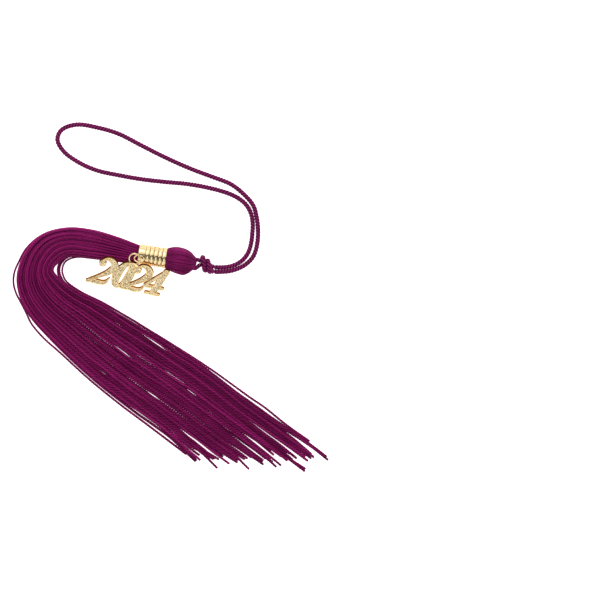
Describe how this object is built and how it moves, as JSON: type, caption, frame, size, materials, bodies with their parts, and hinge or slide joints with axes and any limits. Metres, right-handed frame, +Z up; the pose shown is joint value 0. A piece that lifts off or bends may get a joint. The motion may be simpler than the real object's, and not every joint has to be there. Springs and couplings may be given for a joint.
{
  "type": "graduation tassel",
  "caption": "Long thread tassel laid in a bend, with a ribbed metal ferrule, numeral charm on a jump ring, knotted cord and hanging loop.",
  "frame": {"origin": "on the table, under the middle of the box around head, ferrule, charm and fringe as they lie", "axes": "+Z up from the table; the ferrule's axis lies 8.5 degrees clockwise of +X with the head and cord at its +X end; +Y is the side the hanging loop lies on"},
  "size_m": [0.1482, 0.1692, 0.014],
  "materials": {
    "yarn": "twisted rayon cord with a soft sheen, deep magenta plum",
    "gold": "polished gold plating",
    "glitter_inlay": "champagne glitter resin"
  },
  "bodies": {
    "tassel_body": {"tassel_head": "yarn", "neck_binding": "yarn", "ferrule": "gold", "fringe_lower_lock_1": "yarn", "fringe_lower_lock_2": "yarn", "fringe_lower_lock_3": "yarn", "fringe_lower_lock_4": "yarn", "fringe_lower_lock_5": "yarn", "fringe_lower_lock_6": "yarn", "fringe_lower_lock_7": "yarn", "fringe_lower_lock_8": "yarn", "fringe_upper_lock_1": "yarn", "fringe_upper_lock_2": "yarn", "fringe_upper_lock_3": "yarn", "fringe_upper_lock_4": "yarn", "fringe_upper_lock_5": "yarn", "fringe_upper_lock_6": "yarn", "fringe_upper_lock_7": "yarn", "fringe_upper_lock_8": "yarn"},
    "jump_ring": {"jump_ring": "gold"},
    "charm": {"charm_plate": "gold", "charm_inlay_first_two": "glitter_inlay", "charm_inlay_zero": "glitter_inlay", "charm_inlay_second_two": "glitter_inlay", "charm_inlay_four": "glitter_inlay"},
    "cord": {"cord_eye": "yarn", "cord_knot": "yarn", "hanging_cord": "yarn"}
  },
  "joints": [
    {"name": "jump_ring_swing", "type": "hinge", "parent": "tassel_body", "child": "jump_ring", "pos_m": [-0.01311, 0.04401, 0.01085], "axis": [-0.989, 0.1478, 0], "range_deg": [0, 32]},
    {"name": "charm_swing", "type": "hinge", "parent": "jump_ring", "child": "charm", "pos_m": [-0.01481, 0.04275, 0.01121], "axis": [-0.9796, 0.2011, 0], "range_deg": [0, 10]},
    {"name": "cord_swing", "type": "hinge", "parent": "tassel_body", "child": "cord", "pos_m": [0.01328, 0.04126, 0.0062], "axis": [0, 0, 1], "range_deg": [-15, 15]}
  ]
}
